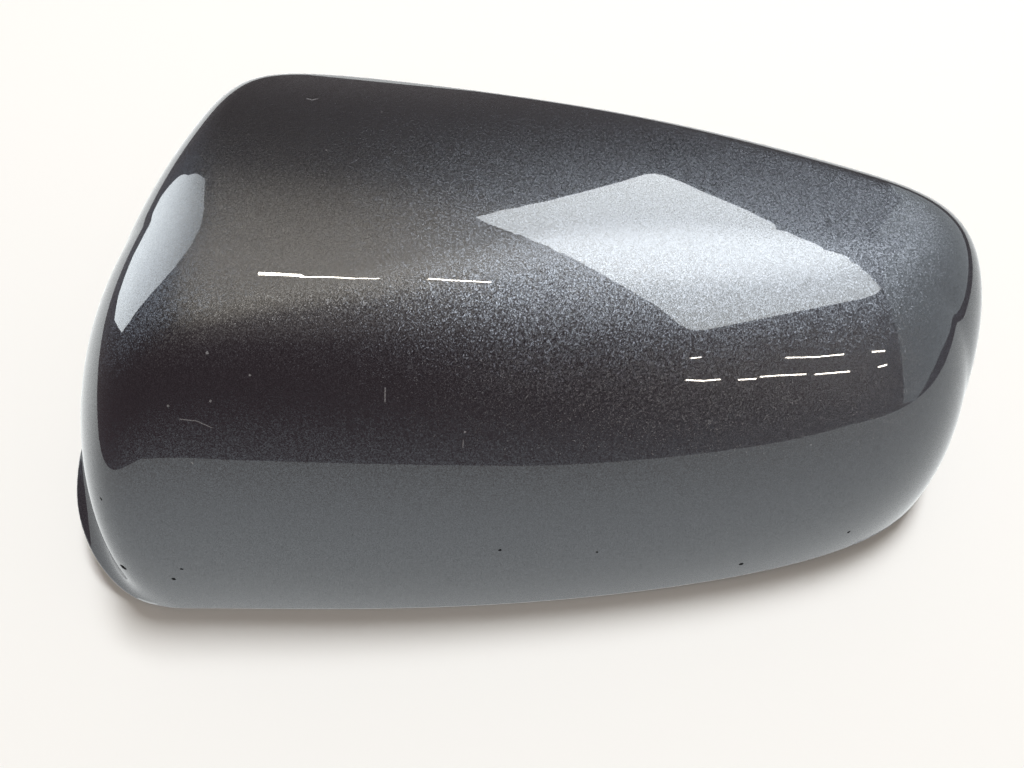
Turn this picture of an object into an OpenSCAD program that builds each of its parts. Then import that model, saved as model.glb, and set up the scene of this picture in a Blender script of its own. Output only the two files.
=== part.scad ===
// Wing mirror cover: one moulded shell, resting on its rim with the mouth down.
// X runs from the arm end to the tip, +Y to the upper crease, +Z to the crown.

/* [Cover body] */
// length of the plan outline, from the arm end to the tip
cover_length = 233; // [180:1:300]
// width of the plan outline, from the upper crease to the lower rim
cover_width = 141; // [110:1:180]
// height of the face over the rim, at the middle of the outline
crown_height = 84; // [65:1:110]
// thickness of the moulded wall
wall = 2.5; // [1.8:0.1:4]
// radius on both edges of the rim
edge_round = 0.7; // [0.2:0.1:0.9]
// draft of the side wall, in degrees
wall_draft = 2.3; // [1:0.1:5]

/* [Front face] */
// fall of the face from the middle to the tip
tip_fall = 5; // [0:0.5:12]
// fall of the face from the middle to the upper crease
crease_fall = 11; // [0:0.5:18]
// bow of the face along the cover
length_bow = 7; // [0:0.5:14]
// bow of the face across the cover
width_bow = 12; // [0:0.5:20]
// rise of the two ends of the upper crease
crease_end_rise = 12; // [0:0.5:18]
// late drop of the arm end
arm_end_drop = 4; // [0:0.5:8]

/* [Shoulder] */
// width of the tight roll-off at the upper crease
crease_roll = 7.5; // [6:0.5:14]
// width of the wide roll-off at the lower side
lower_roll = 60; // [45:1:66]
// height of a roll-off over its width
roll_steepness = 1.5; // [1.2:0.05:1.8]
// lift of the rim under the tip
tip_lift = 6.5; // [0:0.5:12]

/* [Arm arch] */
// lift of the rim where the mirror arm passes
arch_lift = 16; // [6:0.5:20]
// reach of the flared lip around the arch
lip_reach = 9; // [3:0.5:12]
// height of the flare over the rim
lip_height = 12; // [10:0.5:22]

/* [Clips] */
// width of a clip along the rim
clip_width = 12; // [8:0.5:18]
// thickness of the clip's tongue
clip_thickness = 2; // [1.4:0.1:3]
// gap between the tongue and the wall
clip_gap = 4; // [2.5:0.1:6]
// reach of the barb
clip_barb = 1.8; // [1:0.1:3]
// height of the barb
clip_barb_height = 4; // [3:0.1:6]
// height of the tongue's end over the rim
clip_tip_height = 3; // [1:0.5:6]
// height of the clip's root over the rim
clip_root_height = 18; // [14:0.5:24]
// depth of the root where it meets the wall
clip_root_depth = 5; // [3:0.5:8]

/* [Locating posts] */
// diameter of a post
post_diameter = 8; // [6:0.5:12]
// length of a post below the inner skin
post_length = 26; // [16:1:36]
// diameter of the pin at the end of a post
pin_diameter = 4; // [3:0.1:5]
// length of the pin, with its point
pin_length = 9; // [6:0.5:12]
// length of the point on the pin
pin_point = 1; // [0.5:0.1:2]
// width across the fins at the foot of a post
fin_span = 20; // [14:0.5:26]
// thickness of a fin
fin_thickness = 1.6; // [1.2:0.1:2.4]
// height of a fin below the inner skin
fin_height = 12; // [6:0.5:14]

/* [Ribs] */
// height of a stiffening rib over the inner skin
rib_height = 3; // [1.5:0.1:4]
// thickness of a stiffening rib
rib_thickness = 1.6; // [1.2:0.1:2.4]
// height over the rim where the ribs start
rib_start_height = 12; // [8:0.5:20]

/* [Hidden] */
// corners of the plan outline's spline, clockwise from the arm end
rim_length_shares = [-0.545, -0.455, -0.4, -0.22, 0.08, 0.345, 0.455, 0.435, 0.275, -0.105, -0.44, -0.48];
rim_width_shares = [0.025, 0.4, 0.565, 0.525, 0.39, 0.235, 0.085, -0.18, -0.29, -0.355, -0.345, -0.36];
// how far the roll-off is from the crease's width to the lower side's
roll_shares = [0.8, 0.5, 0, 0, 0.08, 0.27, 0.19, 1, 1, 0.9, 1.1, 0.7];
tip_lift_shares = [0, 0, 0, 0, 0, 0.1, 0.6, 1, 0.3, 0, 0, 0];
// ends of the face's middle line
spine_start_shares = [-0.25, -0.08];
spine_end_shares = [0.31, -0.07];
spine_ease_share = 0.35;
// powers of the roll-off's section, in plan and in height
plan_power = 2.4;
height_power = 2.1;
// middle, half span and fade of the arch and of its lip, as shares of the way round
arch_middle_share = 0.97;
arch_half_share = 0.11;
arch_fade_share = 0.11;
lip_middle_share = 0.96;
lip_half_share = 0.095;
lip_fade_share = 0.09;
// places of the clips and ribs, as shares of the way round
clip_turn_shares = [0.07, 0.21, 0.34, 0.52, 0.64, 0.77];
rib_turn_shares = [0.6, 0.68, 0.73, 0.81, 0.87];
// places of the posts, as shares of the length and the width
post_shares = [[-0.3, 0.22], [0.03, 0.14], [0.27, 0.06]];

around = 96;
wall_rows = 3;
roll_rows = 12;
face_rows = 4;
rows = roll_rows + face_rows;
// the hidden inner skin takes the lowest row, then every second one
inner_rows = concat([1], [for (k = [2 : 2 : rows - 2]) k]);
row_power = 1.4;
late_power = 1.15;
probe_share = 0.001;
bore_facets = 48;
arc_share = 1 - sqrt(1 / 2);

turns = [for (i = [0 : around - 1]) i / around];
x_marks = [for (t = turns) spline(rim_length_shares, t)];
y_marks = [for (t = turns) spline(rim_width_shares, t)];
x_span = max(x_marks) - min(x_marks);
y_span = max(y_marks) - min(y_marks);

function wrap(t) = t - floor(t);

// a closed cubic spline with one corner per entry of the list
function spline(c, t) =
    let (n = len(c), s = wrap(t) * n, i = floor(s), f = s - i)
    (c[(i + n - 1) % n] * pow(1 - f, 3)
        + c[i % n] * (3 * pow(f, 3) - 6 * f * f + 4)
        + c[(i + 1) % n] * (3 * f + 3 * f * f - 3 * pow(f, 3) + 1)
        + c[(i + 2) % n] * pow(f, 3)) / 6;

function smooth(s) =
    let (c = min(max(s, 0), 1))
    c * c * (3 - 2 * c);

function rim_at(t) = [
    cover_length * ((spline(rim_length_shares, t) - min(x_marks)) / x_span - 1 / 2),
    cover_width * ((spline(rim_width_shares, t) - min(y_marks)) / y_span - 1 / 2)
];

function rim_out(t) =
    let (d = rim_at(t + probe_share) - rim_at(t - probe_share))
    [-d.y, d.x] / norm(d);

function spine_at(t) =
    let (
        h = 2 * abs(wrap(t + 1 / 2) - 1 / 2),
        g = spine_ease_share * (1 - cos(180 * h)) / 2 + (1 - spine_ease_share) * h,
        m = spine_start_shares + (spine_end_shares - spine_start_shares) * g
    )
    [cover_length * m.x, cover_width * m.y];

function roll_at(t) = crease_roll + (lower_roll - crease_roll) * spline(roll_shares, t);

// how far round from a middle, and one inside a span that fades to zero at its ends
function away(t, middle) = abs(wrap(t - middle + 1 / 2) - 1 / 2);
function span_at(t, middle, half, fade) = smooth((half - away(t, middle)) / fade);

function arch_at(t) = span_at(t, arch_middle_share, arch_half_share, arch_fade_share);
function lip_at(t) = span_at(t, lip_middle_share, lip_half_share, lip_fade_share);
function lift_at(t) = tip_lift * spline(tip_lift_shares, t) + arch_lift * arch_at(t);

function face_at(p) =
    let (a = 2 * p.x / cover_length, b = 2 * p.y / cover_width)
    crown_height - tip_fall * a - crease_fall * b - length_bow * a * a - width_bow * b * b
        + crease_end_rise * a * a * b + arm_end_drop * a * a * a;

function face_normal(p) =
    let (
        e = cover_length * probe_share,
        n = [
            (face_at(p - [e, 0]) - face_at(p + [e, 0])) / (2 * e),
            (face_at(p - [0, e]) - face_at(p + [0, e])) / (2 * e),
            1
        ]
    )
    n / norm(n);

// one line of the outer skin, from the rim up to the face's middle line:
// a straight wall of the share left by the roll-off, then the roll-off, then the face
function skin_line(t) =
    let (
        r = rim_at(t),
        v = spine_at(t) - r,
        n = rim_out(t),
        roll = min(roll_at(t) / norm(v), 1),
        lift = lift_at(t),
        reach = lip_reach * lip_at(t),
        round_share = min(roll_steepness * roll_at(t) / (face_at(r) - lift), 1)
    )
    [for (k = [0 : rows])
        let (
            early = pow(k / roll_rows, row_power),
            late = pow(max(k - wall_rows, 0) / (roll_rows - wall_rows), late_power),
            a = k < roll_rows ? 90 * (round_share * early + (1 - round_share) * late) : 90,
            q = k < roll_rows
                ? roll * (1 - pow(cos(a), 2 / plan_power))
                : roll + (1 - roll) * (k - roll_rows) / face_rows,
            curve = k < roll_rows ? pow(sin(a), 2 / height_power) : 1,
            up = (1 - round_share) * min(k / wall_rows, 1) + round_share * curve,
            p = r + v * q,
            rise = face_at(p) - lift,
            flare = reach * pow(max(1 - rise * up / lip_height, 0), 2),
            out = rise * (1 - up) * tan(wall_draft) + flare
        )
        [p.x + n.x * out, p.y + n.y * out, lift + rise * up]];

skin = [for (t = turns) skin_line(t)];

function skin_normal(i, k) =
    k >= roll_rows ? face_normal([skin[i][k].x, skin[i][k].y]) :
    let (
        u = skin[(i + 1) % around][k] - skin[(i + around - 1) % around][k],
        v = skin[i][k + 1] - skin[i][max(k - 1, 0)],
        n = cross(v, u)
    )
    n / norm(n);

// a point at a depth below the outer skin
function below(i, k, depth) = skin[i][k] - depth * skin_normal(i, k);

// the same on the plane of the rim
function rim_below(i, depth) =
    let (n = skin_normal(i, 0), flat = [n.x, n.y, 0])
    skin[i][0] - depth * flat / (flat * flat);

function toward(a, b, step) = a + step * (b - a) / norm(b - a);

function rim_section(i) =
    let (
        outer = skin[i][0],
        inner = rim_below(i, wall),
        outer_up = toward(outer, skin[i][1], edge_round),
        outer_in = toward(outer, inner, edge_round),
        inner_up = toward(inner, below(i, inner_rows[0], wall), edge_round),
        inner_out = toward(inner, outer, edge_round)
    )
    [
        outer_up,
        outer + arc_share * (outer_up + outer_in - 2 * outer),
        outer_in,
        inner_out,
        inner + arc_share * (inner_up + inner_out - 2 * inner),
        inner_up
    ];

rim_sections = [for (i = [0 : around - 1]) rim_section(i)];
rim_rows = 6;
half_around = around / 2;
ring_count = rows - 1 + rim_rows + len(inner_rows);

outer_rings = [for (k = [rows - 1 : -1 : 1]) for (i = [0 : around - 1]) skin[i][k]];
rim_rings = [for (k = [0 : rim_rows - 1]) for (i = [0 : around - 1]) rim_sections[i][k]];
inner_rings = [for (k = inner_rows) for (i = [0 : around - 1]) below(i, k, wall)];
outer_seam = [for (i = [0 : half_around]) skin[i][rows]];
inner_seam = [for (i = [0 : half_around]) below(i, rows, wall)];
shell_points = concat(outer_rings, rim_rings, inner_rings, outer_seam, inner_seam);

function ring_index(k, i) = k * around + i % around;
function seam_index(side, i) =
    ring_count * around + side * (half_around + 1) + min(i, around - i);
function two_triangles(a, b, c, d) = [[a, d, c], [a, c, b]];

shell_faces = concat(
    [for (k = [0 : ring_count - 2]) for (i = [0 : around - 1])
        each two_triangles(ring_index(k, i), ring_index(k, i + 1),
            ring_index(k + 1, i + 1), ring_index(k + 1, i))],
    [for (i = [0 : around - 1])
        each two_triangles(seam_index(0, i), seam_index(0, i + 1),
            ring_index(0, i + 1), ring_index(0, i))],
    [for (i = [0 : around - 1])
        each two_triangles(ring_index(ring_count - 1, i), ring_index(ring_count - 1, i + 1),
            seam_index(1, i + 1), seam_index(1, i))]
);

all_x = [for (p = shell_points) p.x];
all_y = [for (p = shell_points) p.y];
centre = [(min(all_x) + max(all_x)) / 2, (min(all_y) + max(all_y)) / 2];

module shell() {
    polyhedron(points = shell_points, faces = shell_faces, convexity = 6);
}

// stands a flat outline upright on a plan point, its x axis along a direction
module upright(p, way, thickness) {
    translate([p.x, p.y, 0])
        rotate([0, 0, atan2(way.y, way.x)])
            rotate([90, 0, 0])
                translate([0, 0, -thickness / 2])
                    linear_extrude(thickness)
                        children();
}

// distance and height of a point, seen from a plan point along a direction
function sight(q, p, way) = [(q.x - p.x) * way.x + (q.y - p.y) * way.y, q.z];

module skin_rib(i, first) {
    p = rim_at(turns[i]);
    way = (spine_at(turns[i]) - p) / norm(spine_at(turns[i]) - p);
    top = [for (k = [first : rows - 1]) sight(below(i, k, wall / 2), p, way)];
    low = [for (k = [rows - 1 : -1 : first]) sight(below(i, k, wall + rib_height), p, way)];
    upright(p, way, rib_thickness)
        polygon(concat(top, low));
}

function row_over(i, height) =
    min([for (k = [1 : rows]) if (skin[i][k].z > lift_at(turns[i]) + height) k]);

module ribs() {
    for (t = rib_turn_shares) {
        i = round(t * around);
        skin_rib(i, row_over(i, rib_start_height));
    }
}

// inward distance of the wall's middle at a height
function wall_middle(i, p, way, z) =
    lookup(z, [for (k = [0 : roll_rows - 1]) let (s = sight(below(i, k, wall / 2), p, way)) [s.y, s.x]]);

module clip(t) {
    i = round(t * around);
    p = rim_at(turns[i]);
    way = -rim_out(turns[i]);
    lift = lift_at(turns[i]);
    tip = lift + clip_tip_height;
    root = lift + clip_root_height;
    root_top = root + clip_root_depth;
    near_side = wall_middle(i, p, way, root) + wall / 2 + clip_gap;
    far_side = near_side + clip_thickness;
    upright(p, way, clip_width)
        polygon([
            [wall_middle(i, p, way, root_top), root_top],
            [far_side, root_top],
            [far_side, tip + clip_barb_height],
            [far_side + clip_barb, tip + clip_barb_height],
            [far_side, tip],
            [near_side, tip],
            [near_side, root],
            [wall_middle(i, p, way, root), root]
        ]);
}

module post(s) {
    p = [cover_length * s.x, cover_width * s.y];
    top = face_at(p) - wall / 2;
    foot = face_at(p) - wall - post_length;
    pin_radius = pin_diameter / 2;
    translate([p.x, p.y, foot])
        cylinder(h = top - foot, d = post_diameter, $fn = bore_facets);
    translate([p.x, p.y, foot - pin_length])
        rotate_extrude($fn = bore_facets)
            polygon([
                [0, 0],
                [pin_radius - pin_point / 2, 0],
                [pin_radius, pin_point],
                [pin_radius, pin_length + post_diameter / 2],
                [0, pin_length + post_diameter / 2]
            ]);
    for (turn = [0, 90])
        translate([p.x, p.y, 0])
            rotate([0, 0, turn])
                rotate([90, 0, 0])
                    translate([0, 0, -fin_thickness / 2])
                        linear_extrude(fin_thickness)
                            polygon(fin_outline(p, turn));
}

// a fin under the skin: its top follows the wall's middle
function fin_outline(p, turn) =
    let (
        way = [cos(turn), sin(turn)],
        half = fin_span / 2,
        left = face_at(p - half * way) - wall / 2,
        right = face_at(p + half * way) - wall / 2,
        low = face_at(p) - wall - fin_height
    )
    [[-half, left], [-post_diameter / 4, low], [post_diameter / 4, low], [half, right]];

module ribbed_shell() {
    shell();
    ribs();
}

module mirror_cover() {
    color([0.16, 0.16, 0.17])
        translate([-centre.x, -centre.y, 0]) {
            ribbed_shell();
            for (t = clip_turn_shares)
                clip(t);
            for (s = post_shares)
                post(s);
        }
}

mirror_cover();
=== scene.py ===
import bpy
import bmesh
import math
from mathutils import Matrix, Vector


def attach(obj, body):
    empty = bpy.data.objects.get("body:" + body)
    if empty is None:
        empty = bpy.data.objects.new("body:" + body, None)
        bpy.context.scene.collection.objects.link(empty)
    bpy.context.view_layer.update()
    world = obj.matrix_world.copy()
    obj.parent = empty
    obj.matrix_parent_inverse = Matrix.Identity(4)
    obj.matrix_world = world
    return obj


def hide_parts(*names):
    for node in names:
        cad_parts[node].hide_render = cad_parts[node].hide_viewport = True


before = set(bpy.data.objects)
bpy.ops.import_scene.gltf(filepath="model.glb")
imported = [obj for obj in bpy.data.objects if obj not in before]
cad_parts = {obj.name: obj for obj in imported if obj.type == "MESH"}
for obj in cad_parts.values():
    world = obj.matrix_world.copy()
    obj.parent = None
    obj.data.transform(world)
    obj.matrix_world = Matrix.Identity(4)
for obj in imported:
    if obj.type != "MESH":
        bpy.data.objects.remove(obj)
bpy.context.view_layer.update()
print("stage: frame loaded")

mm = 0.001

# sizes of the moulded body, in millimetres, as the CAD source has them
body = {
    "length": 233, "width": 141, "height": 84, "wall": 2.5, "edgeRound": 0.7, "draft": 2.3,
    "tipFall": 5, "creaseFall": 11, "lengthBow": 7, "widthBow": 12, "creaseEndRise": 12, "armEndDrop": 4,
    "creaseRoll": 7.5, "lowerRoll": 60, "rollSteepness": 1.5, "tipLift": 6.5,
    "archLift": 16, "archSpan": (0.97, 0.11, 0.11),
    "lipReach": 9, "lipHeight": 12, "lipSpan": (0.96, 0.095, 0.09),
    "planPower": 2.4, "heightPower": 2.1,
    "spineStart": (-0.25, -0.08), "spineEnd": (0.31, -0.07), "spineEase": 0.35,
}
rimLengthShares = [-0.545, -0.455, -0.4, -0.22, 0.08, 0.345, 0.455, 0.435, 0.275, -0.105, -0.44, -0.48]
rimWidthShares = [0.025, 0.4, 0.565, 0.525, 0.39, 0.235, 0.085, -0.18, -0.29, -0.355, -0.345, -0.36]
rollShares = [0.8, 0.5, 0, 0, 0.08, 0.27, 0.19, 1, 1, 0.9, 1.1, 0.7]
tipLiftShares = [0, 0, 0, 0, 0, 0.1, 0.6, 1, 0.3, 0, 0, 0]

# how finely the skin is drawn
mesh = {
    "around": 288, "rollRows": 44, "faceRows": 16,
    "wallShare": 0.25,  # share of the roll's rows that also climb the straight wall
    "rowPower": 1.4, "latePower": 1.15,  # above 1, rows stand closer near the rim
    "softFrom": 0.92,  # share of the way to the spine past which the roll eases off
    "rimSteps": 3, "paintedRimRows": 6, "firstInnerRow": 3,
}
# the CAD source's own grid, which sets the middle of the part and carries the clips and ribs
cad = {"around": 96, "rollRows": 12, "faceRows": 4, "rimSteps": 2}
cadRows = cad["rollRows"] + cad["faceRows"]
joinWithin = 1e-5  # metres


def spline(shares, turn):
    count = len(shares)
    along = (turn % 1.0) * count
    i = int(math.floor(along)) % count
    f = along - math.floor(along)
    return (
        shares[i - 1] * (1 - f) ** 3
        + shares[i] * (3 * f ** 3 - 6 * f * f + 4)
        + shares[(i + 1) % count] * (3 * f + 3 * f * f - 3 * f ** 3 + 1)
        + shares[(i + 2) % count] * f ** 3
    ) / 6


cadTurns = [i / cad["around"] for i in range(cad["around"])]
xMarks = [spline(rimLengthShares, t) for t in cadTurns]
yMarks = [spline(rimWidthShares, t) for t in cadTurns]


def rimAt(turn):
    x = (spline(rimLengthShares, turn) - min(xMarks)) / (max(xMarks) - min(xMarks)) - 0.5
    y = (spline(rimWidthShares, turn) - min(yMarks)) / (max(yMarks) - min(yMarks)) - 0.5
    return Vector((body["length"] * x, body["width"] * y))


def rimOut(turn):
    step = 0.001
    d = rimAt(turn + step) - rimAt(turn - step)
    return Vector((-d.y, d.x)).normalized()


def spineAt(turn):
    h = 2 * abs((turn + 0.5) % 1.0 - 0.5)
    g = body["spineEase"] * (1 - math.cos(math.pi * h)) / 2 + (1 - body["spineEase"]) * h
    ax, ay = body["spineStart"]
    bx, by = body["spineEnd"]
    return Vector((body["length"] * (ax + (bx - ax) * g), body["width"] * (ay + (by - ay) * g)))


# how far a place on the rim is inside a span, from 0 to 1
def spanAt(turn, span):
    middle, half, fade = span
    away = abs((turn - middle + 0.5) % 1.0 - 0.5)
    c = min(max((half - away) / fade, 0), 1)
    return c * c * (3 - 2 * c)


def liftAt(turn):
    tipPart = body["tipLift"] * spline(tipLiftShares, turn)
    return tipPart + body["archLift"] * spanAt(turn, body["archSpan"])


# height of the front face over a place in plan
def faceAt(p):
    a = 2 * p.x / body["length"]
    b = 2 * p.y / body["width"]
    return (
        body["height"] - body["tipFall"] * a - body["creaseFall"] * b
        - body["lengthBow"] * a * a - body["widthBow"] * b * b
        + body["creaseEndRise"] * a * a * b + body["armEndDrop"] * a ** 3
    )


def faceNormal(p):
    step = 0.2
    dx = (faceAt(p - Vector((step, 0))) - faceAt(p + Vector((step, 0)))) / (2 * step)
    dy = (faceAt(p - Vector((0, step))) - faceAt(p + Vector((0, step)))) / (2 * step)
    return Vector((dx, dy, 1)).normalized()


# one line of the outer skin, from the rim over the roll to the spine
def skinLine(turn, rollRows, faceRows):
    r = rimAt(turn)
    v = spineAt(turn) - r
    n = rimOut(turn)
    width = body["creaseRoll"] + (body["lowerRoll"] - body["creaseRoll"]) * spline(rollShares, turn)
    roll = width / v.length
    if roll > mesh["softFrom"]:
        ease = 1 - mesh["softFrom"]
        roll = 1 - ease * math.exp((mesh["softFrom"] - roll) / ease)
    lift = liftAt(turn)
    reach = body["lipReach"] * spanAt(turn, body["lipSpan"])
    roundShare = min(body["rollSteepness"] * width / (faceAt(r) - lift), 1)
    wallRows = rollRows * mesh["wallShare"]
    line = []
    for k in range(rollRows + faceRows + 1):
        if k < rollRows:
            early = (k / rollRows) ** mesh["rowPower"]
            late = (max(k - wallRows, 0) / (rollRows - wallRows)) ** mesh["latePower"]
            a = math.pi / 2 * (roundShare * early + (1 - roundShare) * late)
            q = roll * (1 - math.cos(a) ** (2 / body["planPower"]))
            curve = math.sin(a) ** (2 / body["heightPower"])
        else:
            q = roll + (1 - roll) * (k - rollRows) / faceRows
            curve = 1
        up = (1 - roundShare) * min(k / wallRows, 1) + roundShare * curve
        p = r + v * q
        rise = faceAt(p) - lift
        flare = reach * max(1 - rise * up / body["lipHeight"], 0) ** 2
        out = rise * (1 - up) * math.tan(math.radians(body["draft"])) + flare
        p = p + n * out
        line.append(Vector((p.x, p.y, lift + rise * up)))
    return line


def skinOf(around, rollRows, faceRows):
    skin = [skinLine(i / around, rollRows, faceRows) for i in range(around)]
    normals = []
    for i in range(around):
        row = []
        for k in range(rollRows + faceRows + 1):
            if k >= rollRows:
                row.append(faceNormal(Vector((skin[i][k].x, skin[i][k].y))))
                continue
            u = skin[(i + 1) % around][k] - skin[i - 1][k]
            v = skin[i][k + 1] - skin[i][max(k - 1, 0)]
            row.append(v.cross(u).normalized())
        normals.append(row)
    return skin, normals


cadSkin, cadNormals = skinOf(cad["around"], cad["rollRows"], cad["faceRows"])


def toward(a, b, step):
    return a + (b - a).normalized() * step


# the rounded edge of the wall at the rim, from outside to inside
def rimSection(skin, normals, i, nextRow, steps):
    outer = skin[i][0]
    flat = Vector((normals[i][0].x, normals[i][0].y, 0))
    inner = outer - flat * (body["wall"] / flat.length_squared)
    reach = body["edgeRound"]
    innerNext = skin[i][nextRow] - normals[i][nextRow] * body["wall"]
    section = []
    for corner, start, end in (
        (outer, toward(outer, skin[i][1], reach), toward(outer, inner, reach)),
        (inner, toward(inner, outer, reach), toward(inner, innerNext, reach)),
    ):
        for s in range(steps + 1):
            w = math.pi / 2 * s / steps
            section.append(
                corner + (start - corner) * (1 - math.sin(w)) + (end - corner) * (1 - math.cos(w))
            )
    return section


cadRim = [rimSection(cadSkin, cadNormals, i, 1, cad["rimSteps"]) for i in range(cad["around"])]
cadPoints = [p for row in cadRim for p in row] + [p for line in cadSkin for p in line[1:]]
# the part's origin stands under the middle of its box
centre = Vector((
    (min(p.x for p in cadPoints) + max(p.x for p in cadPoints)) / 2,
    (min(p.y for p in cadPoints) + max(p.y for p in cadPoints)) / 2,
    0,
))


# from the source's millimetres to the part's own frame
def place(p):
    return (Vector((p.x, p.y, p.z)) - centre) * mm


def addSkin(bm):
    around, rollRows, faceRows = mesh["around"], mesh["rollRows"], mesh["faceRows"]
    skin, normals = skinOf(around, rollRows, faceRows)
    rows = rollRows + faceRows
    firstInner = mesh["firstInnerRow"]
    rings = []
    painted = []
    for k in range(rows - 1, 0, -1):
        rings.append([skin[i][k] for i in range(around)])
        painted.append(True)
    sections = [rimSection(skin, normals, i, firstInner, mesh["rimSteps"]) for i in range(around)]
    for k in range(len(sections[0])):
        rings.append([section[k] for section in sections])
        painted.append(k < mesh["paintedRimRows"])
    for k in range(firstInner, rows):
        rings.append([skin[i][k] - normals[i][k] * body["wall"] for i in range(around)])
        painted.append(False)
    rimHeight = bm.verts.layers.float.new("rimHeight")  # for the overspray inside
    lifts = [liftAt(i / around) for i in range(around)]
    verts = [[bm.verts.new(place(p)) for p in ring] for ring in rings]
    for ring, points in zip(verts, rings):
        for vert, p, lift in zip(ring, points, lifts):
            vert[rimHeight] = (p.z - lift) * mm
    # both halves of the turn meet in one row of points along the spine
    half = around // 2
    outerSeam = [bm.verts.new(place(skin[i][rows])) for i in range(half + 1)]
    innerSeam = [
        bm.verts.new(place(skin[i][rows] - normals[i][rows] * body["wall"])) for i in range(half + 1)
    ]

    def strip(a, b, isPainted):
        for i in range(around):
            j = (i + 1) % around
            f = bm.faces.new((a[i], a[j], b[j], b[i]))
            f.material_index = 0 if isPainted else 1
            f.smooth = True

    def bothWays(seam):
        return [seam[min(i, around - i)] for i in range(around)]

    strip(bothWays(outerSeam), verts[0], True)
    for k in range(len(rings) - 1):
        strip(verts[k], verts[k + 1], painted[k])
    strip(verts[-1], bothWays(innerSeam), False)


# bare plastic on everything new since "before"
def finishPlastic(bm, before):
    rimHeight = bm.verts.layers.float["rimHeight"]
    added = [v for v in bm.verts if v not in before]
    for v in added:
        v[rimHeight] = v.co.z
    faces = list(dict.fromkeys(f for v in added for f in v.link_faces))
    for f in faces:
        f.material_index = 1
    bmesh.ops.recalc_face_normals(bm, faces=faces)


# a plate that stands on edge: its outline is distance along "way", and height
def addUpright(bm, outline, origin, way, thickness):
    before = set(bm.verts)
    side = Vector((-way.y, way.x)) * thickness
    start = origin - side / 2
    face = bm.faces.new([
        bm.verts.new(place(Vector((start.x + way.x * d, start.y + way.y * d, z)))) for d, z in outline
    ])
    pulled = bmesh.ops.extrude_face_region(bm, geom=[face])["geom"]
    far = [v for v in pulled if isinstance(v, bmesh.types.BMVert)]
    bmesh.ops.translate(bm, verts=far, vec=side.to_3d() * mm)
    finishPlastic(bm, before)


def sight(q, p, way):
    return ((q.x - p.x) * way.x + (q.y - p.y) * way.y, q.z)


def below(i, k, depth):
    return cadSkin[i][k] - cadNormals[i][k] * depth


def wallMiddle(i, p, way, z):
    points = [sight(below(i, k, body["wall"] / 2), p, way) for k in range(cad["rollRows"])]
    for (d0, z0), (d1, z1) in zip(points, points[1:]):
        if z0 <= z <= z1:
            return d0 + (d1 - d0) * (z - z0) / (z1 - z0)
    return points[-1][0]


# places round the rim as shares of a turn, sizes in millimetres
clips = {
    "turns": [0.07, 0.21, 0.34, 0.52, 0.64, 0.77],
    "width": 12, "thickness": 2, "gap": 4, "barb": 1.8, "barbHeight": 4,
    "tipHeight": 3, "rootHeight": 18, "rootDepth": 5,
}


def addClip(bm, turn):
    i = int(math.floor(turn * cad["around"] + 0.5))
    turn = i / cad["around"]
    p = rimAt(turn)
    way = -rimOut(turn)
    lift = liftAt(turn)
    tip = lift + clips["tipHeight"]
    root = lift + clips["rootHeight"]
    rootTop = root + clips["rootDepth"]
    near = wallMiddle(i, p, way, root) + body["wall"] / 2 + clips["gap"]
    far = near + clips["thickness"]
    outline = [
        (wallMiddle(i, p, way, rootTop), rootTop), (far, rootTop), (far, tip + clips["barbHeight"]),
        (far + clips["barb"], tip + clips["barbHeight"]), (far, tip), (near, tip),
        (near, root), (wallMiddle(i, p, way, root), root),
    ]
    addUpright(bm, outline, p, way, clips["width"])


def addTurned(bm, profile, x, y, sides):
    before = set(bm.verts)
    line = [bm.verts.new(place(Vector((x + r, y, z)))) for r, z in profile]
    edges = [bm.edges.new(pair) for pair in zip(line, line[1:])]
    bmesh.ops.spin(
        bm, geom=line + edges, cent=place(Vector((x, y, 0))), axis=(0, 0, 1),
        angle=2 * math.pi, steps=sides, use_merge=True,
    )
    bmesh.ops.remove_doubles(bm, verts=[v for v in bm.verts if v not in before], dist=joinWithin)
    finishPlastic(bm, before)


# places as shares of length and width from the middle, sizes in millimetres
posts = {
    "places": [(-0.3, 0.22), (0.03, 0.14), (0.27, 0.06)],
    "diameter": 8, "length": 26, "pinDiameter": 4, "pinLength": 9, "pinPoint": 1,
    "finSpan": 20, "finThickness": 1.6, "finHeight": 12, "sides": 48,
}


def addPost(bm, share):
    p = Vector((body["length"] * share[0], body["width"] * share[1]))
    top = faceAt(p) - body["wall"] / 2
    foot = faceAt(p) - body["wall"] - posts["length"]
    r = posts["diameter"] / 2
    pin = posts["pinDiameter"] / 2
    tip = foot - posts["pinLength"]
    profile = [
        (0, tip), (pin - posts["pinPoint"] / 2, tip), (pin, tip + posts["pinPoint"]), (pin, foot),
        (r, foot), (r, top), (0, top),
    ]
    addTurned(bm, profile, p.x, p.y, posts["sides"])
    for way in (Vector((1, 0)), Vector((0, 1))):
        half = posts["finSpan"] / 2
        low = faceAt(p) - body["wall"] - posts["finHeight"]
        outline = [
            (-half, faceAt(p - way * half) - body["wall"] / 2), (-r / 2, low), (r / 2, low),
            (half, faceAt(p + way * half) - body["wall"] / 2),
        ]
        addUpright(bm, outline, p, way, posts["finThickness"])


# places round the rim as shares of a turn, sizes in millimetres
ribs = {"turns": [0.6, 0.68, 0.73, 0.81, 0.87], "height": 3, "thickness": 1.6, "startHeight": 12}


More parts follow.
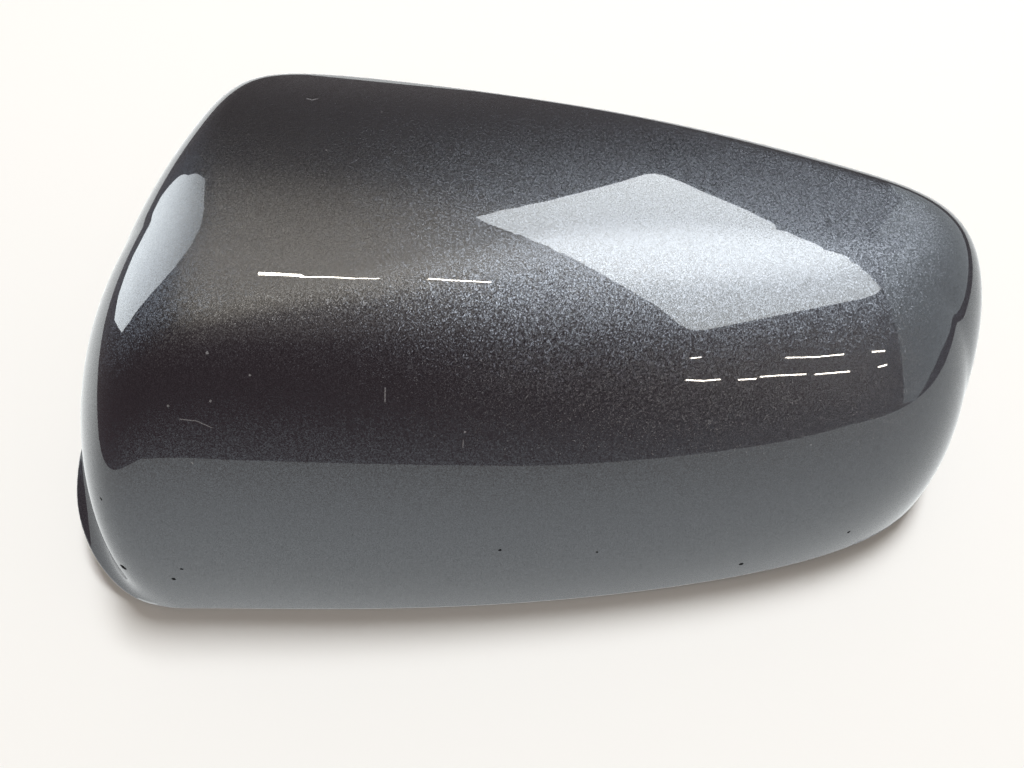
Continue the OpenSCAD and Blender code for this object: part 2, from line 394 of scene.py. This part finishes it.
def addRib(bm, turn):
    i = int(math.floor(turn * cad["around"] + 0.5))
    turn = i / cad["around"]
    p = rimAt(turn)
    way = (spineAt(turn) - p).normalized()
    start = liftAt(turn) + ribs["startHeight"]
    first = min(k for k in range(1, cadRows + 1) if cadSkin[i][k].z > start)
    top = [sight(below(i, k, body["wall"] / 2), p, way) for k in range(first, cadRows)]
    low = [sight(below(i, k, body["wall"] + ribs["height"]), p, way) for k in range(first, cadRows)]
    low.reverse()
    addUpright(bm, top + low, p, way, ribs["thickness"])


# extruded faces come in no fixed order, and three corners tell each face from the rest
def sortFaces(bm):
    bm.verts.index_update()
    count = len(bm.verts)

    def order(face):
        a, b, c = sorted(v.index for v in face.verts)[:3]
        return (a * count + b) * count + c

    bm.faces.sort(key=order)


bm = bmesh.new()
addSkin(bm)
for turn in clips["turns"]:
    addClip(bm, turn)
for share in posts["places"]:
    addPost(bm, share)
for turn in ribs["turns"]:
    addRib(bm, turn)
sortFaces(bm)
coverMesh = bpy.data.meshes.new("cover")
bm.to_mesh(coverMesh)
bm.free()
cover = bpy.data.objects.new("cover", coverMesh)
bpy.context.scene.collection.objects.link(cover)
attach(cover, "root")
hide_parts("mirror_cover")
print("stage: cover built")

# the metallic paint under its clear coat, and the wear on it
paint = {
    "base": (0.069, 0.073, 0.081), "edgeTint": 0.32, "roughness": 0.31, "coatRoughness": 0.012,
    "flakeScale": 5600, "flakeTilt": 0.42, "flakeSpread": 0.35,
    "primer": (0.008, 0.007, 0.007), "speck": (0.2, 0.2, 0.21), "wornRoughness": 0.6,
    "raggedScale": 1800, "raggedReach": 0.0006,  # noise on the outline of a spot, in metres
    "spotCore": 0.75, "scratchCore": 0.4,  # share of a mark that has its full strength
}
# chips in the paint: place and radius, in millimetres
chips = [
    ((-98.7, -69.4, 21.4), 1.1), ((-86.5, -71.5, 18.9), 0.6), ((-82.9, -70.7, 23.8), 0.45),
    ((58.4, -64.5, 10.5), 0.75), ((86.8, -57.5, 15.2), 0.6), ((-4.9, -68.3, 30.1), 0.5),
    ((18.8, -67.3, 26.1), 0.45), ((-95.2, -62.5, 46.2), 0.45),
]
# light specks in the clear coat: place and radius, in millimetres
specks = [
    ((-72.8, -53.4, 71.5), 0.35), ((-64, -52.8, 72.4), 0.35), ((-63.6, -46.1, 80), 0.35),
    ((-55.3, -49.3, 76.7), 0.3), ((-46.8, 12.2, 82.7), 0.3), ((-36.1, 33.4, 77.6), 0.3),
    ((-12, -55.5, 64.4), 0.35), ((14.1, -52.6, 63.7), 0.3), ((-70.6, -60.2, 59.3), 0.3),
]
# fine scratches: two ends and width, in millimetres
scratches = [
    ((-70.9, -55.1, 69), (-67.6, -55.3, 68.6), 0.16), ((-67.6, -55.3, 68.6), (-64.6, -56.1, 67.2), 0.16),
    ((-28.1, -50.5, 73.8), (-28.3, -52.4, 71.4), 0.18), ((-12.4, -56.6, 62.8), (-12.6, -57.4, 61), 0.16),
    ((-57.4, 42, 75.4), (-55.9, 41, 75.6), 0.25), ((-54.6, 42, 75.3), (-55.9, 41, 75.6), 0.25),
]


def newMaterial(name):
    material = bpy.data.materials.new(name)
    material.use_nodes = True
    tree = material.node_tree
    tree.nodes.clear()
    output = tree.nodes.new("ShaderNodeOutputMaterial")
    shader = tree.nodes.new("ShaderNodeBsdfPrincipled")
    tree.links.new(shader.outputs["BSDF"], output.inputs["Surface"])
    return material, tree, shader


def newGroup(name, inputs, outputs):
    group = bpy.data.node_groups.new(name, "ShaderNodeTree")
    for label, kind in inputs:
        group.interface.new_socket(name=label, in_out="INPUT", socket_type=kind)
    for label, kind in outputs:
        group.interface.new_socket(name=label, in_out="OUTPUT", socket_type=kind)
    start = group.nodes.new("NodeGroupInput")
    end = group.nodes.new("NodeGroupOutput")
    return group, start, end


# a link where the value comes from a node, or else a plain value
def feed(links, socket, value):
    if isinstance(value, bpy.types.NodeSocket):
        links.new(value, socket)
    else:
        socket.default_value = value


def mathNode(tree, operation, a, b=None, clamp=False):
    node = tree.nodes.new("ShaderNodeMath")
    node.operation = operation
    node.use_clamp = clamp
    feed(tree.links, node.inputs[0], a)
    if b is not None:
        feed(tree.links, node.inputs[1], b)
    return node.outputs[0]


def vectorNode(tree, operation, a, b=None, scale=None):
    node = tree.nodes.new("ShaderNodeVectorMath")
    node.operation = operation
    feed(tree.links, node.inputs[0], a)
    if b is not None:
        feed(tree.links, node.inputs[1], b)
    if scale is not None:
        feed(tree.links, node.inputs["Scale"], scale)
    return node.outputs["Value" if operation in ("DOT_PRODUCT", "DISTANCE") else "Vector"]


def smoothRamp(tree, value, low, high, start, end):
    node = tree.nodes.new("ShaderNodeMapRange")
    node.interpolation_type = "SMOOTHSTEP"
    labels = ("Value", "From Min", "From Max", "To Min", "To Max")
    for label, setting in zip(labels, (value, low, high, start, end)):
        feed(tree.links, node.inputs[label], setting)
    return node.outputs["Result"]


def mixColors(tree, factor, a, b):
    node = tree.nodes.new("ShaderNodeMix")
    node.data_type = "RGBA"
    feed(tree.links, node.inputs["Factor"], factor)
    feed(tree.links, node.inputs["A"], a)
    feed(tree.links, node.inputs["B"], b)
    return node.outputs["Result"]


# metal flakes: each tilts the normal its own way, and has its own tone
def flakeGroup():
    group, start, end = newGroup(
        "metalFlakes", [("Vector", "NodeSocketVector")],
        [("Normal", "NodeSocketVector"), ("Grain", "NodeSocketFloat")],
    )
    cells = group.nodes.new("ShaderNodeTexVoronoi")
    cells.inputs["Scale"].default_value = paint["flakeScale"]
    group.links.new(start.outputs["Vector"], cells.inputs["Vector"])
    geometry = group.nodes.new("ShaderNodeNewGeometry")
    tilt = vectorNode(group, "SUBTRACT", cells.outputs["Color"], (0.5,) * 3)
    tilt = vectorNode(group, "SCALE", tilt, scale=paint["flakeTilt"])
    normal = vectorNode(group, "NORMALIZE", vectorNode(group, "ADD", geometry.outputs["Normal"], tilt))
    group.links.new(normal, end.inputs["Normal"])
    split = group.nodes.new("ShaderNodeSeparateColor")
    group.links.new(cells.outputs["Color"], split.inputs["Color"])
    group.links.new(split.outputs["Green"], end.inputs["Grain"])
    return group


# a small round mark with a ragged outline
def spotGroup():
    group, start, end = newGroup(
        "wearSpot",
        [("Vector", "NodeSocketVector"), ("Place", "NodeSocketVector"),
         ("Radius", "NodeSocketFloat")],
        [("Mask", "NodeSocketFloat")],
    )
    noise = group.nodes.new("ShaderNodeTexNoise")
    noise.inputs["Scale"].default_value = paint["raggedScale"]
    group.links.new(start.outputs["Vector"], noise.inputs["Vector"])
    ragged = vectorNode(group, "SUBTRACT", noise.outputs["Color"], (0.5,) * 3)
    ragged = vectorNode(group, "SCALE", ragged, scale=paint["raggedReach"])
    moved = vectorNode(group, "ADD", start.outputs["Vector"], ragged)
    away = vectorNode(group, "DISTANCE", moved, start.outputs["Place"])
    low = mathNode(group, "MULTIPLY", start.outputs["Radius"], paint["spotCore"])
    group.links.new(smoothRamp(group, away, low, start.outputs["Radius"], 1.0, 0.0), end.inputs["Mask"])
    return group


# a fine straight line between two points
def scratchGroup():
    group, start, end = newGroup(
        "wearScratch",
        [("Vector", "NodeSocketVector"), ("Start", "NodeSocketVector"),
         ("End", "NodeSocketVector"), ("Width", "NodeSocketFloat")],
        [("Mask", "NodeSocketFloat")],
    )
    along = vectorNode(group, "SUBTRACT", start.outputs["End"], start.outputs["Start"])
    offset = vectorNode(group, "SUBTRACT", start.outputs["Vector"], start.outputs["Start"])
    share = mathNode(
        group, "DIVIDE", vectorNode(group, "DOT_PRODUCT", offset, along),
        vectorNode(group, "DOT_PRODUCT", along, along), clamp=True,
    )
    foot = vectorNode(group, "SCALE", along, scale=share)
    away = vectorNode(group, "DISTANCE", offset, foot)
    low = mathNode(group, "MULTIPLY", start.outputs["Width"], paint["scratchCore"])
    group.links.new(smoothRamp(group, away, low, start.outputs["Width"], 1.0, 0.0), end.inputs["Mask"])
    return group


def addGroup(tree, group, values):
    node = tree.nodes.new("ShaderNodeGroup")
    node.node_tree = group
    for label, value in values.items():
        feed(tree.links, node.inputs[label], value)
    return node


def strongest(tree, masks):
    total = masks[0]
    for mask in masks[1:]:
        total = mathNode(tree, "MAXIMUM", total, mask)
    return total


def metres(p):
    return tuple(c * mm for c in p)


def spotMasks(tree, point, group, spots):
    return [
        addGroup(tree, group, {
            "Vector": point, "Place": metres(p), "Radius": radius * mm,
        }).outputs["Mask"]
        for p, radius in spots
    ]


def scratchMasks(tree, point, group):
    return [
        addGroup(tree, group, {
            "Vector": point, "Start": metres(a), "End": metres(b), "Width": width * mm,
        }).outputs["Mask"]
        for a, b, width in scratches
    ]


def toned(color, factor):
    return tuple(c * factor for c in color) + (1,)


def paintMaterial():
    material, tree, shader = newMaterial("metallicPaint")
    point = tree.nodes.new("ShaderNodeTexCoord").outputs["Object"]
    flakes = addGroup(tree, flakeGroup(), {"Vector": point})
    spot = spotGroup()
    scratch = scratchGroup()
    chipMask = strongest(tree, spotMasks(tree, point, spot, chips))
    lightMarks = spotMasks(tree, point, spot, specks) + scratchMasks(tree, point, scratch)
    lightMask = strongest(tree, lightMarks)
    bright = toned(paint["base"], 1 + paint["flakeSpread"])
    dim = toned(paint["base"], 1 - paint["flakeSpread"])
    color = mixColors(tree, flakes.outputs["Grain"], dim, bright)
    color = mixColors(tree, lightMask, color, (*paint["speck"], 1))
    color = mixColors(tree, chipMask, color, (*paint["primer"], 1))
    worn = mathNode(tree, "MAXIMUM", chipMask, lightMask)
    links = tree.links
    links.new(color, shader.inputs["Base Color"])
    links.new(smoothRamp(tree, lightMask, 0.0, 1.0, 1.0, 0.0), shader.inputs["Metallic"])
    roughness = smoothRamp(tree, worn, 0.0, 1.0, paint["roughness"], paint["wornRoughness"])
    links.new(roughness, shader.inputs["Roughness"])
    links.new(flakes.outputs["Normal"], shader.inputs["Normal"])
    links.new(smoothRamp(tree, chipMask, 0.0, 1.0, 1.0, 0.0), shader.inputs["Coat Weight"])
    shader.inputs["Coat Roughness"].default_value = paint["coatRoughness"]
    shader.inputs["Specular Tint"].default_value = (paint["edgeTint"],) * 3 + (1,)
    return material


# bare black plastic inside, with overspray that fades away from the rim
plastic = {
    "dark": (0.02, 0.02, 0.021, 1), "pale": (0.032, 0.032, 0.033, 1), "roughness": 0.52,
    "grainScale": 900, "bumpStrength": 0.25, "bumpDistance": 0.0002,
    "sprayFrom": 0.001, "sprayTo": 0.009, "sprayShare": 0.8,  # heights over the rim, in metres
    "cloudScale": 60, "cloudReach": 0.006,
}


def plasticMaterial():
    material, tree, shader = newMaterial("barePlastic")
    point = tree.nodes.new("ShaderNodeTexCoord").outputs["Object"]
    grain = tree.nodes.new("ShaderNodeTexNoise")
    grain.inputs["Scale"].default_value = plastic["grainScale"]
    cloud = tree.nodes.new("ShaderNodeTexNoise")
    cloud.inputs["Scale"].default_value = plastic["cloudScale"]
    for noise in (grain, cloud):
        tree.links.new(point, noise.inputs["Vector"])
    height = tree.nodes.new("ShaderNodeAttribute")
    height.attribute_name = "rimHeight"
    wander = mathNode(tree, "MULTIPLY", cloud.outputs["Fac"], plastic["cloudReach"])
    edge = mathNode(tree, "ADD", height.outputs["Fac"], wander)
    spray = smoothRamp(tree, edge, plastic["sprayFrom"], plastic["sprayTo"], plastic["sprayShare"], 0.0)
    color = mixColors(tree, grain.outputs["Fac"], plastic["dark"], plastic["pale"])
    color = mixColors(tree, spray, color, (*paint["base"], 1))
    tree.links.new(color, shader.inputs["Base Color"])
    metal = smoothRamp(tree, spray, 0.0, 1.0, 0.0, plastic["sprayShare"])
    tree.links.new(metal, shader.inputs["Metallic"])
    bump = tree.nodes.new("ShaderNodeBump")
    bump.inputs["Strength"].default_value = plastic["bumpStrength"]
    bump.inputs["Distance"].default_value = plastic["bumpDistance"]
    tree.links.new(grain.outputs["Fac"], bump.inputs["Height"])
    tree.links.new(bump.outputs["Normal"], shader.inputs["Normal"])
    shader.inputs["Roughness"].default_value = plastic["roughness"]
    return material


cover.data.materials.append(paintMaterial())
cover.data.materials.append(plasticMaterial())
print("stage: materials built")

# sizes and places in metres, angles in degrees
studio = {
    "tableLow": (-0.27, -0.3617), "tableHigh": (0.4, 0.46), "tableColor": (0.88, 0.873, 0.855),
    "tableRoughness": 0.9, "tableGlow": (1.08, 1.11, 1.11),  # the glow is the table's tone in the gloss
    "backdrop": (0.955, 0.95, 0.935), "fill": (0.4, 0.36, 0.325),
    "lampPlace": (0.25, 0.64, 2.1), "lampSize": (0.5, 0.5), "lampColor": (0.97, 0.99, 1.0),
    "lampPower": 40,
    "cameraPlace": (-0.00205, -0.1373, 0.206), "lookDown": 56.42, "lens": 27.07, "sensor": 36,
    "nearest": 0.01,
}
# what only the gloss sees: a dark room with a lit ceiling, and panels and tubes far off
room = {
    "distance": 20.0, "wallsAt": 4, "tubesAt": 0.9,  # the last two in distances
    "walls": (0.215, 0.158, 0.173), "back": (0.14, 0.117, 0.12),
    "overhead": (0.52, 0.44, 0.42), "backFrom": (-0.3, 0.8), "overheadFrom": (0.66, 0.95),
    "ceiling": (1.4, 1.25, 1.05), "ceilingAt": (119, 60), "ceilingSpread": (0, 40),
    "panelFade": 30, "tubeColor": (1.0, 0.93, 0.8), "tubeStrength": 70.0,
}
# panels: corners as azimuth and elevation in degrees, where each is brightest, colour,
# and strength there and far from there
panels = {
    "windowRight": (
        [(91.3, 34.8), (89.9, 33.9), (88.4, 32.7), (85.8, 30.5), (83.3, 29), (81.1, 27.1),
         (79.1, 24.8), (77.5, 22.8), (76, 20.5), (75.3, 20.2), (74.4, 20.6), (72.4, 22.3),
         (70.3, 24.2), (67.3, 26.4), (64, 28.5), (60.2, 30.8), (52.8, 37.8), (38.5, 46), (18.6, 48),
         (7.6, 45.9), (-1.9, 41.5), (-7.6, 36.8), (-10.7, 36.8), (-14.1, 38.5), (-17.9, 41),
         (-24, 43.9), (-29.3, 45.5), (-34.1, 46.3), (-38.5, 46.6), (-42.9, 46.4), (-46.5, 46.1),
         (-47.9, 47.2), (-46.6, 50.5), (-43.8, 54.2), (-37.2, 60.1), (-29.3, 64.6), (-20.9, 67.8),
         (-7.6, 70.5), (9.5, 71.8), (27.6, 71.1), (43.1, 68.5), (53.6, 65), (62.8, 59.9), (70.1, 54.5),
         (77.5, 48.7), (82.7, 43.7), (86.7, 38.1), (88.3, 37.2), (89.8, 36.2)],
        (46.9, 57.6), (0.93, 0.975, 1.0), 11.6, 7.2,
    ),
    "windowLeft": (
        [(123.4, 22.7), (126.4, 26.3), (128.9, 29.4), (133.6, 31), (141.2, 28.4), (148.2, 22.8),
         (154, 15), (158.7, 5.9), (160.2, 0.3), (154.3, -9), (149, -11), (142, -11), (136.5, -8),
         (133, 3), (131, 11)],
        (152, 9), (0.9, 0.96, 1.0), 4.6, 2.4,
    ),
    "wallRight": (
        [(57.5, 3), (56.2, 19.6), (53.6, 27.7), (49.7, 32.5), (9, 43), (-7.8, 36), (-18.8, 23.5),
         (-24.2, 11.5), (-26.9, 2.3), (-28.8, -7.2), (-23.7, -9.2), (-14.8, -6.5), (-6.1, -5.3),
         (1.7, -7.1), (19.9, -5)],
        (20, 15), (0.9, 0.96, 1.0), 1.15, 1.0,
    ),
}
# tubes: points as azimuth and elevation, and width, in degrees
tubes = [
    ([(126.5, 43.3), (123.8, 44.4), (120.7, 45.6), (119.2, 49.8), (117.4, 55.3), (115, 60.2),
      (112.6, 65.5)], 0.55),
    ([(94.4, 75.7), (73.2, 80.1), (45.7, 81), (21, 79.7)], 0.75),
    ([(-56.5, 33), (-55.2, 32.8)], 0.5), ([(-60.5, 22.9), (-58.8, 21.6), (-56.8, 21.3)], 0.5),
    ([(-46.9, 26.1), (-43.4, 23.4), (-38.6, 21)], 0.5), ([(-55.1, 20), (-53.1, 19.2)], 0.5),
    ([(-52.5, 19.8), (-50.2, 18.9), (-47.1, 17.1)], 0.5),
    ([(-46, 16.2), (-43.4, 15), (-40.2, 13.4)], 0.5),
    ([(-32.6, 17.4), (-28.9, 15.1)], 0.5), ([(-33.6, 10.7), (-30.8, 9.7)], 0.5),
]


def direction(azimuth, elevation):
    a = math.radians(azimuth)
    e = math.radians(elevation)
    return Vector((math.cos(e) * math.cos(a), math.cos(e) * math.sin(a), math.sin(e)))


def emission(name, color, strength):
    material, tree, shader = newMaterial(name)
    shader.inputs["Roughness"].default_value = 1.0
    shader.inputs["Base Color"].default_value = (0, 0, 0, 1)
    shader.inputs["Specular IOR Level"].default_value = 0.0
    shader.inputs["Emission Color"].default_value = (*color, 1)
    shader.inputs["Emission Strength"].default_value = strength
    return material, tree, shader


def addStaged(name, bm, material, glossOnly):
    data = bpy.data.meshes.new(name)
    bm.to_mesh(data)
    bm.free()
    data.materials.append(material)
    piece = bpy.data.objects.new(name, data)
    bpy.context.scene.collection.objects.link(piece)
    if glossOnly:
        piece.visible_camera = False
        piece.visible_diffuse = False
        piece.visible_shadow = False
        piece.visible_transmission = False


(tableLeft, tableFront), (tableRight, tableBack) = studio["tableLow"], studio["tableHigh"]
tableBm = bmesh.new()
tableBm.faces.new([
    tableBm.verts.new((x, y, 0)) for x, y in (
        (tableLeft, tableFront), (tableRight, tableFront),
        (tableRight, tableBack), (tableLeft, tableBack),
    )
])
tableMaterial, tableTree, tableShader = newMaterial("table")
tableShader.inputs["Roughness"].default_value = studio["tableRoughness"]
tableShader.inputs["Specular IOR Level"].default_value = 0.0
tableShader.inputs["Emission Color"].default_value = (*studio["tableGlow"], 1)
inGloss = tableTree.nodes.new("ShaderNodeLightPath").outputs["Is Glossy Ray"]
tableTree.links.new(inGloss, tableShader.inputs["Emission Strength"])
tableTree.links.new(
    mixColors(tableTree, inGloss, (*studio["tableColor"], 1), (0, 0, 0, 1)),
    tableShader.inputs["Base Color"],
)
addStaged("table", tableBm, tableMaterial, False)

roomBm = bmesh.new()
bmesh.ops.create_icosphere(roomBm, subdivisions=4, radius=room["distance"] * room["wallsAt"])
roomMaterial, roomTree, roomShader = emission("room", room["walls"], 1.0)
outward = roomTree.nodes.new("ShaderNodeTexCoord").outputs["Object"]
outward = vectorNode(roomTree, "NORMALIZE", outward)
backShare = vectorNode(roomTree, "DOT_PRODUCT", outward, (0, 1, 0))
backShare = smoothRamp(roomTree, backShare, *room["backFrom"], 0.0, 1.0)
walls = mixColors(roomTree, backShare, (*room["walls"], 1), (*room["back"], 1))
upShare = vectorNode(roomTree, "DOT_PRODUCT", outward, (0, 0, 1))
upShare = smoothRamp(roomTree, upShare, *room["overheadFrom"], 0.0, 1.0)
walls = mixColors(roomTree, upShare, walls, (*room["overhead"], 1))
facing = vectorNode(roomTree, "DOT_PRODUCT", outward, tuple(direction(*room["ceilingAt"])))
near, far = (math.cos(math.radians(a)) for a in room["ceilingSpread"])
lit = smoothRamp(roomTree, facing, far, near, 0.0, 1.0)
roomTree.links.new(
    mixColors(roomTree, lit, walls, (*room["ceiling"], 1)), roomShader.inputs["Emission Color"]
)
addStaged("room", roomBm, roomMaterial, True)

panelFar = math.cos(math.radians(room["panelFade"]))
for name, (corners, brightAt, color, strength, farStrength) in panels.items():
    rays = [direction(*corner) for corner in corners]
    middle = sum(rays, Vector()).normalized()
    ring = [ray * (room["distance"] / ray.dot(middle)) for ray in rays]
    panelBm = bmesh.new()
    panelBm.faces.new([panelBm.verts.new(p) for p in ring])
    bmesh.ops.triangulate(panelBm, faces=panelBm.faces[:])
    panelMaterial, panelTree, panelShader = emission(name, color, strength)
    ray = panelTree.nodes.new("ShaderNodeTexCoord").outputs["Object"]
    ray = vectorNode(panelTree, "NORMALIZE", ray)
    facing = vectorNode(panelTree, "DOT_PRODUCT", ray, tuple(direction(*brightAt)))
    panelTree.links.new(
        smoothRamp(panelTree, facing, panelFar, 1.0, farStrength, strength),
        panelShader.inputs["Emission Strength"],
    )
    addStaged(name, panelBm, panelMaterial, True)

tubeBm = bmesh.new()
for points, width in tubes:
    places = [direction(*point) * room["distance"] * room["tubesAt"] for point in points]
    sides = []
    for k, p in enumerate(places):
        run = places[min(k + 1, len(places) - 1)] - places[max(k - 1, 0)]
        side = run.cross(p).normalized() * (math.radians(width) * p.length / 2)
        sides.append((tubeBm.verts.new(p - side), tubeBm.verts.new(p + side)))
    for (a, b), (c, d) in zip(sides, sides[1:]):
        tubeBm.faces.new((a, c, d, b))
addStaged("tubes", tubeBm, emission("tubes", room["tubeColor"], room["tubeStrength"])[0], True)

light = bpy.data.lights.new("lamp", "AREA")
light.shape = "RECTANGLE"
light.size, light.size_y = studio["lampSize"]
light.energy = studio["lampPower"]
light.color = studio["lampColor"]
lamp = bpy.data.objects.new("lamp", light)
lamp.location = studio["lampPlace"]
lamp.rotation_euler = (-Vector(studio["lampPlace"])).to_track_quat("-Z", "Y").to_euler()
lamp.visible_glossy = False
bpy.context.scene.collection.objects.link(lamp)

scene = bpy.context.scene
# pale where the camera looks, and a plain fill for the object
world = bpy.data.worlds.new("backdrop")
world.use_nodes = True
worldTree = world.node_tree
worldTree.nodes.clear()
path = worldTree.nodes.new("ShaderNodeLightPath")
seen = mathNode(worldTree, "MAXIMUM", path.outputs["Is Camera Ray"], path.outputs["Is Glossy Ray"])
seen = mathNode(worldTree, "MAXIMUM", seen, path.outputs["Is Transmission Ray"])
sky = worldTree.nodes.new("ShaderNodeBackground")
worldTree.links.new(
    mixColors(worldTree, seen, (*studio["fill"], 1), (*studio["backdrop"], 1)), sky.inputs["Color"]
)
worldOutput = worldTree.nodes.new("ShaderNodeOutputWorld")
worldTree.links.new(sky.outputs["Background"], worldOutput.inputs["Surface"])
scene.world = world

camera = bpy.data.objects.new("camera", bpy.data.cameras.new("camera"))
camera.data.lens = studio["lens"]
camera.data.sensor_width = studio["sensor"]
camera.data.clip_start = studio["nearest"]
camera.location = studio["cameraPlace"]
camera.rotation_euler = (math.radians(90 - studio["lookDown"]), 0, 0)
scene.collection.objects.link(camera)
scene.camera = camera
scene.view_settings.view_transform = "Standard"
print("stage: studio built")
